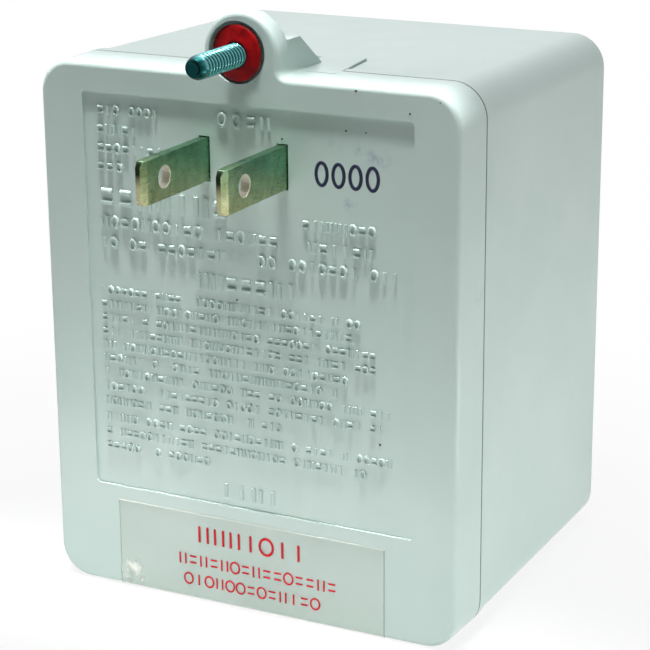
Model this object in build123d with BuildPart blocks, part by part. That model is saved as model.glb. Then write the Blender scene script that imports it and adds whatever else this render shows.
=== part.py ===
from build123d import *

import os
from math import cos, radians, tan

# Plug-in step-down transformer: a two-piece moulded case, two blades that go into the
# upper outlet of a duplex receptacle, and a captive screw that replaces the screw of the
# receptacle's cover plate. Inside are a laminated core and a two-section coil.
#
# Millimetres. X runs to the right as the wall-side face is looked at, Y runs from the wall
# into the case, and Z is up. The origin is midway between the blades, on the plane that
# meets the cover plate.

# Case, as seen from the wall
case_width = 68.2
case_height = 82.3
case_depth = 58.7
line_below_top = 12.75        # from the top of the case down to the blades' centre line
corner_radius = 5.2
case_wall = 2.2
rear_edge_chamfer = 1.2

# Wall-side cover
cover_depth = 8.6
cover_floor = 2.4
cover_taper = 1.5             # degrees
cover_edge_radius = 0.75
panel_depth = 0.4
panel_left = 26.7
panel_right = 27.0
panel_above_line = 8.3
panel_below_line = 53.0
panel_corner = 0.6

# Main housing
mouth_ring_width = 1.8
mouth_ring_step = 0.25        # the housing's walls stand this far inside its mouth ring
housing_draft = 0.8           # degrees, on the two sides and the top
lap_thickness = 1.0           # ship-lap joint between cover and housing
lap_length = 1.6
seam_chamfer = 0.25
fit_clearance = 0.1

# Mounting lug, moulded on the cover
lug_above_line = 15.6
lug_radius = 6.0
lug_thickness = 3.3
lug_flare = 1.45              # at the front, and it dies out along the gusset
flare_length = 8.0
flare_end = 0.15
counterbore_radius = 4.68
counterbore_depth = 1.5
lug_hole_radius = 2.35
gusset_thickness = 1.8
gusset_above_line = 17.6
gusset_flat_end = 6.7
gusset_end = 13.5
saddle_front_half = 11.8
saddle_rear_half = 10.3
saddle_end = 19.3
saddle_gap = 0.15
head_channel_width = 8.0
head_channel_depth = 0.95

# Blades
blade_spacing = 12.7
blade_width = 6.35
blade_thickness = 1.5
blade_reach = 17.8
blade_hole_radius = 1.588
blade_hole_reach = 11.9
blade_bevel_length = 1.45
blade_bevel_depth = 0.4
blade_corner = 0.8
slot_clearance = 0.15
shoulder_width = 9.6
shoulder_length = 1.5
tail_width = 3.0
tail_length = 3.4

# Plate that keeps the blades in the cover, staked on two posts
retainer_width = 31.0
retainer_height = 11.0
retainer_thickness = 2.0
stake_spacing = 24.6
stake_radius = 1.5
stake_head_radius = 2.4
stake_head_height = 0.9
stake_head_taper = 20.0       # degrees

# Mounting screw and its retaining washer
screw_thread_radius = 1.7525
screw_shank_radius = 1.5
screw_reach = 12.03           # how far the tip stands out of the wall-side plane
screw_length = 19.05
screw_tip_chamfer = 0.5
screw_tip_dish = 0.5
screw_head_radius = 3.43
screw_head_height = 2.1
screw_head_bevel = 0.9
screw_slot_width = 1.0
screw_slot_depth = 1.1
screw_shift_x = -0.45         # it hangs off centre in its clearance hole
screw_shift_z = -0.1
washer_radius = 4.125
washer_thickness = 0.8
washer_recess = 0.15
running_clearance = 0.05

# Core of E and I laminations, which fills the case but for these gaps
core_side_gap = 3.075
core_pocket_gap = 1.75

# Coil, which fills the core's windows and the room in front of and behind the core
coil_front_gap = 0.7          # from the leads' insulation to the bobbin's flanges
coil_rear_gap = 3.6           # from the flanges to the housing's rear wall
bobbin_clearance = 0.15
bobbin_wall = 1.1
flange_thickness = 1.2
flange_side_gap = 0.25
flange_corner = 2.5
flange_overhang = 1.1         # beyond the windings, at the front and rear
winding_side_gap = 1.425
winding_corner = 4.5
tape_thickness = 0.35
tape_margin = 0.2

# Core supports
rib_thickness = 2.0
clamp_rib_margin = 4.3        # short of the core's bottom and top
side_rib_margin = 7.3

# Terminal pocket in the underside
pocket_half_width = 17.0
pocket_rear_gap = 3.7         # from the pocket to the case's rear face
pocket_length = 16.0
pocket_depth = 10.0
pocket_wall = 1.8
pocket_corner = 1.0
barrier_thickness = 1.6

# Terminals, one in each bay of the pocket
terminal_from_pocket_front = 7.5
plate_width = 11.0
plate_before_screw = 6.0
plate_thickness = 1.0
terminal_tail_width = 3.0
terminal_tail_thickness = 0.8
terminal_tail_above_roof = 3.7
terminal_screw_length = 7.0
terminal_screw_head_radius = 3.9
terminal_screw_head_height = 2.2
terminal_screw_head_bevel = 1.0
terminal_slot_width = 1.2
terminal_slot_depth = 1.2
clamp_washer_side = 8.5
clamp_washer_thickness = 1.0
roof_hole_clearance = 0.35

# Protectors and leads
cutoff_x = 8.0
cutoff_width = 11.0
cutoff_height = 10.0
cutoff_thickness = 3.6
cutoff_leg_reach = 2.0
fuse_width = 9.0
fuse_depth = 5.0
fuse_height = 8.0
leg_radius = 0.4
lead_radius = 0.8
lead_to_flange_gap = 0.4
primary_lead_x = 11.0
secondary_lead_x = 2.5

# Clear label on the rim
label_left = 22.8
label_right = 22.55
label_below_line = 55.2
label_thickness = 0.12
label_wrap = 60.0             # degrees of the cover's edge that it follows

# Places worked out from the sizes above
case_top = line_below_top
case_base = case_top - case_height
case_middle = (case_top + case_base) / 2
housing_depth = case_depth - cover_depth
housing_top = case_top - mouth_ring_step
housing_width = case_width - 2 * mouth_ring_step
housing_floor = case_base + case_wall
housing_rear_wall = case_depth - case_wall
rib_root = case_wall / 2
pocket_rear = case_depth - pocket_rear_gap
pocket_front = pocket_rear - pocket_length
pocket_middle = (pocket_front + pocket_rear) / 2
pocket_roof = case_base + pocket_depth
pocket_top = pocket_roof + pocket_wall
screw_x = screw_shift_x
screw_z = lug_above_line + screw_shift_z
screw_head_seat = screw_length - screw_reach
retainer_front = cover_floor + shoulder_length
retainer_back = retainer_front + retainer_thickness
tail_end = retainer_back + tail_length
lead_front_y = (retainer_back + tail_end) / 2
flange_front = lead_front_y + lead_radius + coil_front_gap
flange_rear = housing_rear_wall - coil_rear_gap
flange_half_y = (flange_rear - flange_front) / 2
lead_rear_y = flange_rear + lead_radius + lead_to_flange_gap
core_half_width = housing_width / 2 - case_wall - core_side_gap
lamination_unit = core_half_width / 3
winding_depth = lamination_unit - bobbin_clearance - bobbin_wall - winding_side_gap
core_middle = (flange_front + flange_rear) / 2
tongue_half = flange_half_y - flange_overhang - winding_depth - bobbin_wall - bobbin_clearance
core_stack = 2 * tongue_half
core_front = core_middle - tongue_half
core_rear = core_middle + tongue_half
core_base = pocket_top + core_pocket_gap
window_base = core_base + lamination_unit
window_top = window_base + 3 * lamination_unit
core_top = window_top + lamination_unit
bobbin_height = window_top - window_base - bobbin_clearance
tube_hole_x = lamination_unit + bobbin_clearance
tube_hole_y = core_stack / 2 + bobbin_clearance
tube_x = tube_hole_x + bobbin_wall
tube_y = tube_hole_y + bobbin_wall
section_height = (bobbin_height - 3 * flange_thickness) / 2
secondary_base = window_base + flange_thickness
primary_base = secondary_base + section_height + flange_thickness
secondary_middle = secondary_base + section_height / 2
primary_middle = primary_base + section_height / 2
coil_x = tube_x + winding_depth
coil_y = tube_y + winding_depth
coil_front = core_middle - coil_y - tape_thickness
coil_rear = core_middle + coil_y + tape_thickness
flange_half_x = 2 * lamination_unit - flange_side_gap
clamp_rib_x = 2.5 * lamination_unit
cradle_rib_x = pocket_half_width + pocket_wall + rib_thickness
clamp_rib_length = core_top - core_base - 2 * clamp_rib_margin
core_centre = (core_base + core_top) / 2
side_rib_heights = (core_base + side_rib_margin, core_top - side_rib_margin)
bay_width = pocket_half_width - barrier_thickness / 2
terminal_x = (barrier_thickness + bay_width) / 2
terminal_y = pocket_front + terminal_from_pocket_front
plate_base = pocket_roof - plate_thickness
clamp_base = plate_base - clamp_washer_thickness
terminal_tail_y = lead_rear_y
plate_front = terminal_y - plate_before_screw
plate_rear = terminal_tail_y + terminal_tail_thickness / 2
terminal_tail_top = pocket_top + terminal_tail_above_roof


def depth(distance):
    """The plane parallel to the wall, this far into the case, facing the wall."""
    return Plane.XZ.offset(-distance)


def case_outline(inset=0.0, mode=Mode.ADD):
    """Draw the case's rounded outline, this far inside its widest form."""
    with Locations((0, case_middle)):
        RectangleRounded(
            case_width - 2 * inset, case_height - 2 * inset, corner_radius - inset, mode=mode
        )


def ring_round_core(half_x, half_y, corner, hole_x, hole_y, hole_corner=0.0):
    """Draw a rounded rectangle centred on the core's tongue, with a square or rounded hole."""
    with Locations((0, core_middle)):
        RectangleRounded(2 * half_x, 2 * half_y, corner)
        if hole_corner:
            RectangleRounded(2 * hole_x, 2 * hole_y, hole_corner, mode=Mode.SUBTRACT)
        else:
            Rectangle(2 * hole_x, 2 * hole_y, mode=Mode.SUBTRACT)


def slotted_screw(seat, thread, shank, head, slot, tip):
    """Turn a slotted screw about the seat plane's X, which points from its tip to its head.

    thread and shank are (radius, length), head is (radius, height, bevel), slot is
    (width, depth) and tip lists (distance from the end, radius) from the axis outwards. The
    head's underside is at the plane's origin.
    """
    thread_radius, thread_length = thread
    shank_radius, shank_length = shank
    head_radius, head_height, bevel = head
    end = -(shank_length + thread_length)
    with BuildSketch(seat) as profile:
        with BuildLine():
            Polyline(
                *[(end + distance, reach) for distance, reach in tip],
                (-shank_length, thread_radius),
                (-shank_length, shank_radius),
                (0, shank_radius),
                (0, head_radius),
                (head_height - bevel, head_radius),
                (head_height, head_radius - bevel),
                (head_height, 0),
                close=True,
            )
        make_face()
    revolve(profile.sketch, axis=Axis(seat.origin, seat.x_dir))
    crown = Plane(seat.origin + seat.x_dir * head_height, x_dir=seat.z_dir, z_dir=seat.x_dir)
    with BuildSketch(crown) as groove:
        Rectangle(slot[0], 3 * head_radius)
    extrude(groove.sketch, amount=-slot[1], mode=Mode.SUBTRACT)


def wire(points, radius):
    """Sweep a round wire along straight runs that meet in mitred corners."""
    with BuildLine() as route:
        Polyline(*points)
    with BuildSketch(Plane(origin=route.line @ 0, z_dir=route.line % 0)) as section:
        Circle(radius)
    sweep(section.sketch, path=route.line, transition=Transition.RIGHT)


def finish(builder, name):
    """Label a finished piece and write it to its own file."""
    builder.part.label = name
    export_step(builder.part, f"parts/{name}.step")


os.makedirs("parts", exist_ok=True)

# Main housing: a drafted shell, open towards the wall, with its underside left square
with BuildPart() as main_housing:
    with BuildSketch(depth(cover_depth)):
        with Locations((0, (housing_top + case_base) / 2)):
            Rectangle(housing_width, housing_top - case_base)
    extrude(amount=-housing_depth)
    flanks = faces().filter_by(Axis.X) + faces().filter_by(Axis.Z).sort_by(Axis.Z)[-1:]
    draft(flanks, depth(cover_depth), -housing_draft)
    fillet(edges().filter_by(lambda edge: abs((edge % 0.5).Y) > 0.9), corner_radius)
    chamfer(faces().sort_by(Axis.Y)[-1].edges(), rear_edge_chamfer)
    offset(amount=-case_wall, openings=faces().sort_by(Axis.Y)[0])

    # Ribs that hold the core: a cradle on the floor, stops at the rear and guides at the sides
    cradle_end = pocket_front - pocket_wall / 2
    with BuildSketch(Plane.XY.offset(housing_floor - rib_root)):
        with Locations((0, (core_front + cradle_end) / 2)):
            with GridLocations(2 * cradle_rib_x, 1, 2, 1):
                Rectangle(rib_thickness, cradle_end - core_front)
    extrude(amount=core_base - housing_floor + rib_root)
    with BuildSketch(depth(core_rear)):
        with Locations((0, core_centre)):
            with GridLocations(2 * clamp_rib_x, 1, 2, 1):
                Rectangle(rib_thickness, clamp_rib_length)
    extrude(amount=core_rear - housing_rear_wall - rib_root)
    guide_reach = (case_width - case_wall) / 2 - core_half_width
    with BuildSketch(depth(core_front)):
        for height in side_rib_heights:
            with Locations((0, height)):
                with GridLocations(2 * core_half_width + guide_reach, 1, 2, 1):
                    Rectangle(guide_reach, rib_thickness)
    extrude(amount=core_front - housing_rear_wall - rib_root)

    # Mouth ring, rebated inside for the cover's lap
    with BuildSketch(depth(cover_depth)):
        case_outline()
        case_outline(case_wall, mode=Mode.SUBTRACT)
    extrude(amount=-mouth_ring_width)
    with BuildSketch(depth(cover_depth)):
        case_outline(case_wall - lap_thickness - fit_clearance)
    extrude(amount=-lap_length - fit_clearance, mode=Mode.SUBTRACT)

    # Notch in the top for the lug's saddle
    with BuildSketch(Plane.XY.offset(case_top)):
        with BuildLine():
            Polyline(
                (-saddle_front_half - saddle_gap, cover_depth),
                (saddle_front_half + saddle_gap, cover_depth),
                (saddle_rear_half + saddle_gap, saddle_end + saddle_gap),
                (-saddle_rear_half - saddle_gap, saddle_end + saddle_gap),
                close=True,
            )
        make_face()
    extrude(amount=-2 * case_wall, mode=Mode.SUBTRACT)

    # Terminal pocket in the underside: two bays with a barrier between them
    with BuildSketch(Plane.XY.offset(case_base)):
        with Locations((0, pocket_middle)):
            Rectangle(2 * (pocket_half_width + pocket_wall), pocket_length + 2 * pocket_wall)
    extrude(amount=pocket_depth + pocket_wall)
    with BuildSketch(Plane.XY.offset(case_base)):
        with Locations((0, pocket_middle)):
            with GridLocations(2 * terminal_x, 1, 2, 1):
                RectangleRounded(bay_width, pocket_length, pocket_corner)
    extrude(amount=pocket_depth, mode=Mode.SUBTRACT)
    with BuildSketch(Plane.XY.offset(pocket_roof)):
        with Locations((0, terminal_y)):
            with GridLocations(2 * terminal_x, 1, 2, 1):
                Circle(screw_thread_radius + roof_hole_clearance)
        with Locations((0, terminal_tail_y)):
            with GridLocations(2 * terminal_x, 1, 2, 1):
                Rectangle(
                    terminal_tail_width + 2 * fit_clearance,
                    terminal_tail_thickness + 2 * fit_clearance,
                )
    extrude(amount=pocket_wall, mode=Mode.SUBTRACT)
finish(main_housing, "main_housing")

# Wall-side cover, with the mounting lug moulded on its top
with BuildPart() as wall_side_cover:
    with BuildSketch(depth(cover_depth)):
        case_outline()
    extrude(amount=cover_depth, taper=cover_taper)
    chamfer(faces().sort_by(Axis.Y)[-1].edges(), seam_chamfer)

    # Lug: a disc on a stem, which flares into the cover's top, with one rounded edge round both
    stem_base = case_top - case_wall
    with BuildSketch(depth(lug_thickness)):
        with Locations((0, (stem_base + lug_above_line) / 2)):
            Rectangle(2 * lug_radius, lug_above_line - stem_base)
        with Locations((0, lug_above_line)):
            Circle(lug_radius)
    extrude(amount=lug_thickness)
    for side in (-1, 1):
        for place, flare in ((0, lug_flare), (flare_length, flare_end)):
            top = case_top - (cover_depth - place) * tan(radians(cover_taper))
            with BuildSketch(depth(place)):
                with BuildLine():
                    Polyline(
                        (side * (lug_radius + flare), top),
                        (side * (lug_radius + flare), stem_base),
                        (side * (lug_radius - flare), stem_base),
                        (side * (lug_radius - flare), top + flare),
                        (side * lug_radius, top + flare),
                    )
                    RadiusArc(
                        (side * lug_radius, top + flare),
                        (side * (lug_radius + flare), top),
                        -side * flare,
                    )
                make_face()
        loft()
    fillet(faces().sort_by(Axis.Y)[0].outer_wire().edges(), cover_edge_radius)
    with BuildSketch(depth(cover_depth)):
        case_outline(case_wall)
    extrude(amount=cover_depth - cover_floor, mode=Mode.SUBTRACT)

    # Lap that enters the housing's mouth ring
    with BuildSketch(depth(cover_floor)):
        case_outline(case_wall - lap_thickness)
        case_outline(case_wall, mode=Mode.SUBTRACT)
    extrude(amount=cover_floor - cover_depth - lap_length)

    # Saddle behind the lug, let into the top of the housing
    with BuildSketch(Plane.XY.offset(case_top)):
        with BuildLine():
            Polyline(
                (-saddle_front_half, cover_depth - case_wall),
                (saddle_front_half, cover_depth - case_wall),
                (saddle_front_half, cover_depth),
                (saddle_rear_half, saddle_end),
                (-saddle_rear_half, saddle_end),
                (-saddle_front_half, cover_depth),
                close=True,
            )
        make_face()
    extrude(amount=-case_wall)

    # Gussets from the lug back along the saddle, and between them a channel for the screw's head
    for gusset_side in (-lug_radius, lug_radius - gusset_thickness):
        with BuildSketch(Plane.YZ.offset(gusset_side)):
            with BuildLine():
                Polyline(
                    (lug_thickness, stem_base),
                    (lug_thickness, gusset_above_line),
                    (gusset_flat_end, gusset_above_line),
                    (gusset_end, case_top),
                    (gusset_end, stem_base),
                    close=True,
                )
            make_face()
        extrude(amount=gusset_thickness)
    with BuildSketch(depth(lug_thickness)):
        with Locations((0, case_top - head_channel_depth / 2)):
            Rectangle(head_channel_width, head_channel_depth)
    extrude(amount=lug_thickness - saddle_end, mode=Mode.SUBTRACT)

    # Clearance hole, counterbored for the retaining washer
    with Locations(Location(Plane(origin=(0, 0, lug_above_line), z_dir=(0, -1, 0)))):
        CounterBoreHole(lug_hole_radius, counterbore_radius, counterbore_depth, depth=lug_thickness)

    # Panel, and the two slots that the blades stand in
    with BuildSketch(depth(0)):
        with Locations(((panel_right - panel_left) / 2, (panel_above_line - panel_below_line) / 2)):
            RectangleRounded(
                panel_left + panel_right, panel_above_line + panel_below_line, panel_corner
            )
    extrude(amount=-panel_depth, mode=Mode.SUBTRACT)
    with BuildSketch(depth(0)):
        with GridLocations(blade_spacing, 1, 2, 1):
            Rectangle(blade_thickness + 2 * slot_clearance, blade_width + 2 * slot_clearance)
    extrude(amount=-cover_floor, mode=Mode.SUBTRACT)

    # Ribs that clamp the core against the housing's stops
    with BuildSketch(depth(cover_floor)):
        with Locations((0, core_centre)):
            with GridLocations(2 * clamp_rib_x, 1, 2, 1):
                Rectangle(rib_thickness, clamp_rib_length)
    extrude(amount=cover_floor - core_front)

    # Posts for the blade retainer, staked over it
    with BuildSketch(depth(cover_floor)):
        with GridLocations(stake_spacing, 1, 2, 1):
            Circle(stake_radius)
    extrude(amount=cover_floor - retainer_back)
    with BuildSketch(depth(retainer_back)):
        with GridLocations(stake_spacing, 1, 2, 1):
            Circle(stake_head_radius)
    extrude(amount=-stake_head_height, taper=stake_head_taper)
finish(wall_side_cover, "wall_side_cover")

# Blades: punched strips with shoulders behind the cover and tails for the leads
for side, name in ((-1, "line_blade_left"), (1, "line_blade_right")):
    with BuildPart() as blade:
        with BuildSketch(Plane.YZ.offset((side * blade_spacing - blade_thickness) / 2)):
            with Locations(((cover_floor - blade_reach) / 2, 0)):
                Rectangle(blade_reach + cover_floor, blade_width)
            with Locations((-blade_hole_reach, 0)):
                Circle(blade_hole_radius, mode=Mode.SUBTRACT)
            with Locations((cover_floor + shoulder_length / 2, 0)):
                Rectangle(shoulder_length, shoulder_width)
            with Locations(((retainer_front + tail_end) / 2, 0)):
                Rectangle(tail_end - retainer_front, tail_width)
        extrude(amount=blade_thickness)
        chamfer(faces().sort_by(Axis.Y)[0].edges().filter_by(Axis.X), blade_corner)
        tip = faces().sort_by(Axis.Y)[0]
        chamfer(
            tip.edges().filter_by(Axis.Z), blade_bevel_depth, blade_bevel_length, reference=tip
        )
    finish(blade, name)

# Retainer: an insulating plate over the blades' shoulders
with BuildPart() as blade_retainer:
    with BuildSketch(depth(retainer_front)):
        Rectangle(retainer_width, retainer_height)
        with GridLocations(blade_spacing, 1, 2, 1):
            Rectangle(
                blade_thickness + 2 * fit_clearance,
                tail_width + 2 * fit_clearance,
                mode=Mode.SUBTRACT,
            )
        with GridLocations(stake_spacing, 1, 2, 1):
            Circle(stake_radius + fit_clearance, mode=Mode.SUBTRACT)
    extrude(amount=-retainer_thickness)
finish(blade_retainer, "blade_retainer")

# Mounting screw: the thread is wider than the shank, so the washer on the shank keeps it captive
with BuildPart() as mounting_screw:
    slotted_screw(
        Plane(origin=(screw_x, screw_head_seat, screw_z), x_dir=(0, 1, 0), z_dir=(1, 0, 0)),
        thread=(screw_thread_radius, screw_reach),
        shank=(screw_shank_radius, screw_head_seat),
        head=(screw_head_radius, screw_head_height, screw_head_bevel),
        slot=(screw_slot_width, screw_slot_depth),
        tip=[
            (screw_tip_dish, 0),
            (0, screw_thread_radius - screw_tip_chamfer),
            (screw_tip_chamfer, screw_thread_radius),
        ],
    )
finish(mounting_screw, "mounting_screw")

with BuildPart() as retaining_washer:
    with BuildSketch(depth(washer_recess)):
        with Locations((screw_x, screw_z)):
            Circle(washer_radius)
            Circle(screw_shank_radius + running_clearance, mode=Mode.SUBTRACT)
    extrude(amount=-washer_thickness)
finish(retaining_washer, "retaining_washer")

# Clear label on the rim below the panel, following the cover's lower edge
with BuildPart() as clear_label:
    taper_slope = tan(radians(cover_taper))
    bend_drop = cover_edge_radius * (1 / cos(radians(cover_taper)) - taper_slope)
    bend_centre = (cover_edge_radius, case_base + cover_depth * taper_slope + bend_drop)
    with BuildSketch(Plane.YZ.offset(-label_left)):
        with BuildLine():
            outer = CenterArc(bend_centre, cover_edge_radius + label_thickness, 180, label_wrap)
            inner = CenterArc(bend_centre, cover_edge_radius, 180, label_wrap)
            Polyline(
                inner @ 0,
                (0, -label_below_line),
                (-label_thickness, -label_below_line),
                outer @ 0,
            )
            Line(inner @ 1, outer @ 1)
        make_face()
    extrude(amount=label_left + label_right)
finish(clear_label, "clear_label")

# Core: the coil sits on the middle limb of the E stack, and the I stack closes it
with BuildPart() as core_e_stack:
    with BuildSketch(depth(core_front)):
        with Locations((0, (core_base + window_top) / 2)):
            Rectangle(2 * core_half_width, window_top - core_base)
        with Locations((0, (window_base + window_top) / 2)):
            with GridLocations(3 * lamination_unit, 1, 2, 1):
                Rectangle(lamination_unit, window_top - window_base, mode=Mode.SUBTRACT)
    extrude(amount=-core_stack)
finish(core_e_stack, "core_e_stack")

with BuildPart() as core_i_stack:
    with BuildSketch(depth(core_front)):
        with Locations((0, window_top + lamination_unit / 2)):
            Rectangle(2 * core_half_width, lamination_unit)
    extrude(amount=-core_stack)
finish(core_i_stack, "core_i_stack")

# Bobbin: a tube on the tongue with three flanges, and a winding in each of its two sections
with BuildPart() as coil_bobbin:
    with BuildSketch(Plane.XY.offset(window_base)):
        with Locations((0, core_middle)):
            Rectangle(2 * tube_x, 2 * tube_y)
            Rectangle(2 * tube_hole_x, 2 * tube_hole_y, mode=Mode.SUBTRACT)
    extrude(amount=bobbin_height)
    for step in range(3):
        flange_base = window_base + step * (section_height + flange_thickness)
        with BuildSketch(Plane.XY.offset(flange_base)):
            ring_round_core(flange_half_x, flange_half_y, flange_corner, tube_hole_x, tube_hole_y)
        extrude(amount=flange_thickness)
finish(coil_bobbin, "coil_bobbin")

for base, name in ((primary_base, "primary"), (secondary_base, "secondary")):
    with BuildPart() as winding:
        with BuildSketch(Plane.XY.offset(base)):
            ring_round_core(coil_x, coil_y, winding_corner, tube_x, tube_y)
        extrude(amount=section_height)
    finish(winding, f"{name}_winding")
    with BuildPart() as tape:
        with BuildSketch(Plane.XY.offset(base + tape_margin)):
            ring_round_core(
                coil_x + tape_thickness, coil_y + tape_thickness, winding_corner + tape_thickness,
                coil_x, coil_y, winding_corner,
            )
        extrude(amount=section_height - 2 * tape_margin)
    finish(tape, f"{name}_tape")

# Thermal cut-off on the primary's tape, with a leg into the coil
with BuildPart() as thermal_cutoff:
    with BuildSketch(depth(coil_front - cutoff_thickness)):
        with Locations((cutoff_x, primary_middle)):
            Rectangle(cutoff_width, cutoff_height)
    extrude(amount=-cutoff_thickness)
    leg_start = cutoff_x - cutoff_width / 2
    leg_y = coil_front - cutoff_thickness / 2
    wire(
        [
            (leg_start + leg_radius, leg_y, primary_middle),
            (leg_start - cutoff_leg_reach, leg_y, primary_middle),
            (leg_start - cutoff_leg_reach, coil_front, primary_middle),
        ],
        leg_radius,
    )
finish(thermal_cutoff, "thermal_cutoff")

# Secondary fuse, standing on the pocket's roof with a leg to the left terminal's tail
with BuildPart() as secondary_fuse:
    with BuildSketch(Plane.XY.offset(pocket_top)):
        with Locations((0, lead_rear_y + lead_radius + fit_clearance - fuse_depth / 2)):
            Rectangle(fuse_width, fuse_depth)
    extrude(amount=fuse_height)
    with BuildSketch(Plane.YZ.offset(terminal_tail_width / 2 - terminal_x)):
        with Locations((terminal_tail_y, (pocket_top + terminal_tail_top) / 2)):
            Circle(leg_radius)
    extrude(amount=terminal_x - (terminal_tail_width + fuse_width) / 2 + leg_radius)
finish(secondary_fuse, "secondary_fuse")

# Leads, each from a blade's tail, a terminal's tail or a protector to the coil
blade_x = blade_spacing / 2
tail_bottom = -tail_width / 2
cutoff_top = primary_middle + cutoff_height / 2
left_step = (tail_bottom - primary_middle) / 3
right_step = (tail_bottom - cutoff_top) / 3
fuse_top = pocket_top + fuse_height
lead_routes = {
    "primary_lead_left": [
        (-blade_x, lead_front_y, tail_bottom),
        (-blade_x, lead_front_y, tail_bottom - left_step),
        (-primary_lead_x, lead_front_y, tail_bottom - 2 * left_step),
        (-primary_lead_x, lead_front_y, primary_middle),
        (-primary_lead_x, coil_front, primary_middle),
    ],
    "primary_lead_right": [
        (blade_x, lead_front_y, tail_bottom),
        (blade_x, lead_front_y, tail_bottom - right_step),
        (cutoff_x, lead_front_y, tail_bottom - 2 * right_step),
        (cutoff_x, lead_front_y, cutoff_top),
    ],
    "secondary_lead_left": [
        (-secondary_lead_x, lead_rear_y, fuse_top),
        (-secondary_lead_x, lead_rear_y, secondary_middle),
        (-secondary_lead_x, coil_rear, secondary_middle),
    ],
    "secondary_lead_right": [
        (terminal_x, lead_rear_y, terminal_tail_top),
        (terminal_x, lead_rear_y, secondary_middle),
        (terminal_x, coil_rear, secondary_middle),
    ],
}
for name, points in lead_routes.items():
    with BuildPart() as insulated_lead:
        wire(points, lead_radius)
    finish(insulated_lead, name)

# Terminals: in each bay a tapped plate, and below it the washer and screw that clamp a wire
for side, name in ((-1, "left"), (1, "right")):
    with BuildPart() as terminal_plate:
        with BuildSketch(Plane.XY.offset(plate_base)):
            with Locations((side * terminal_x, (plate_front + plate_rear) / 2)):
                Rectangle(plate_width, plate_rear - plate_front)
            with Locations((side * terminal_x, terminal_y)):
                Circle(screw_thread_radius + running_clearance, mode=Mode.SUBTRACT)
        extrude(amount=plate_thickness)
        with BuildSketch(Plane.XY.offset(plate_base)):
            with Locations((side * terminal_x, terminal_tail_y)):
                Rectangle(terminal_tail_width, terminal_tail_thickness)
        extrude(amount=terminal_tail_top - plate_base)
    finish(terminal_plate, f"terminal_plate_{name}")

    with BuildPart() as clamp_washer:
        with BuildSketch(Plane.XY.offset(clamp_base)):
            with Locations((side * terminal_x, terminal_y)):
                Rectangle(clamp_washer_side, clamp_washer_side)
                Circle(screw_thread_radius + fit_clearance, mode=Mode.SUBTRACT)
        extrude(amount=clamp_washer_thickness)
    finish(clamp_washer, f"clamp_washer_{name}")

    with BuildPart() as terminal_screw:
        slotted_screw(
            Plane(
                origin=(side * terminal_x, terminal_y, clamp_base),
                x_dir=(0, 0, -1),
                z_dir=(1, 0, 0),
            ),
            thread=(screw_thread_radius, terminal_screw_length - clamp_washer_thickness),
            shank=(screw_thread_radius - running_clearance, clamp_washer_thickness),
            head=(
                terminal_screw_head_radius,
                terminal_screw_head_height,
                terminal_screw_head_bevel,
            ),
            slot=(terminal_slot_width, terminal_slot_depth),
            tip=[(0, 0), (0, screw_thread_radius)],
        )
    finish(terminal_screw, f"terminal_screw_{name}")
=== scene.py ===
import math

import bmesh
import bpy
from mathutils import Matrix, Vector, noise


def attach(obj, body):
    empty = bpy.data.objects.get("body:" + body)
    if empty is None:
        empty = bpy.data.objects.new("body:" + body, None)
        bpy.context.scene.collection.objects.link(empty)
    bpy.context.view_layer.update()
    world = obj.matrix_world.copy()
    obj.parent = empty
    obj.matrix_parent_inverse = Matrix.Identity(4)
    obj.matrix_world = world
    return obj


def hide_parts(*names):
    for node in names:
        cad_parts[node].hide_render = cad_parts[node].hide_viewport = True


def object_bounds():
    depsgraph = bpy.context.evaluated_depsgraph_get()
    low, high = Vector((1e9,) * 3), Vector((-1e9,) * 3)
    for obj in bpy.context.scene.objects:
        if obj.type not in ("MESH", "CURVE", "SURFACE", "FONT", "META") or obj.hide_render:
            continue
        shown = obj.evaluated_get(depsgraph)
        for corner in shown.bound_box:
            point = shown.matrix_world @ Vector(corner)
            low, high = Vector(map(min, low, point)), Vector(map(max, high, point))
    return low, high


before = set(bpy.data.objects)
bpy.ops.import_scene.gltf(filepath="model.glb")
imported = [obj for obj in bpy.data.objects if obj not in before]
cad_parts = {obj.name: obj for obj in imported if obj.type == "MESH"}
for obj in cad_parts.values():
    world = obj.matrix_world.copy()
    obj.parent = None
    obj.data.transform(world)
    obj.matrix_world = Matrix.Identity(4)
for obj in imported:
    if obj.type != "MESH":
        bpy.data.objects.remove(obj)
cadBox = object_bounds()
print("frame loaded:", len(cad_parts), "nodes")

mm = 0.001  # sizes below are written in millimetres and turned to metres with this


def addObject(name, data):
    made = bpy.data.objects.new(name, data)
    bpy.context.scene.collection.objects.link(made)
    return made


# Node helpers, shared by the materials and the geometry trees
def addNode(tree, kind, inputs=None, **settings):
    node = tree.nodes.new(kind)
    for key, value in settings.items():
        setattr(node, key, value)
    for key, value in (inputs or {}).items():
        socket = node.inputs[key]
        if isinstance(value, bpy.types.NodeSocket):
            tree.links.new(value, socket)
        else:
            socket.default_value = value
    return node


def ramp(tree, factor, stops):
    node = addNode(tree, "ShaderNodeValToRGB", {"Fac": factor})
    elements = node.color_ramp.elements
    while len(elements) < len(stops):
        elements.new(0.5)
    for element, (place, value) in zip(elements, stops):
        element.position = place
        element.color = (*value, 1) if isinstance(value, tuple) else (value, value, value, 1)
    return node.outputs["Color"]


def startMaterial(name, **surface):
    made = bpy.data.materials.new(name)
    made.use_nodes = True
    tree = made.node_tree
    shader = tree.nodes["Principled BSDF"]
    for key, value in surface.items():
        shader.inputs[key.replace("_", " ")].default_value = value
    place = addNode(tree, "ShaderNodeTexCoord").outputs["Object"]
    return made, tree, shader, place


def cloud(tree, place, scale, detail, roughness=0.55):
    return addNode(tree, "ShaderNodeTexNoise", {
        "Vector": place, "Scale": scale, "Detail": detail, "Roughness": roughness}).outputs["Fac"]


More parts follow.
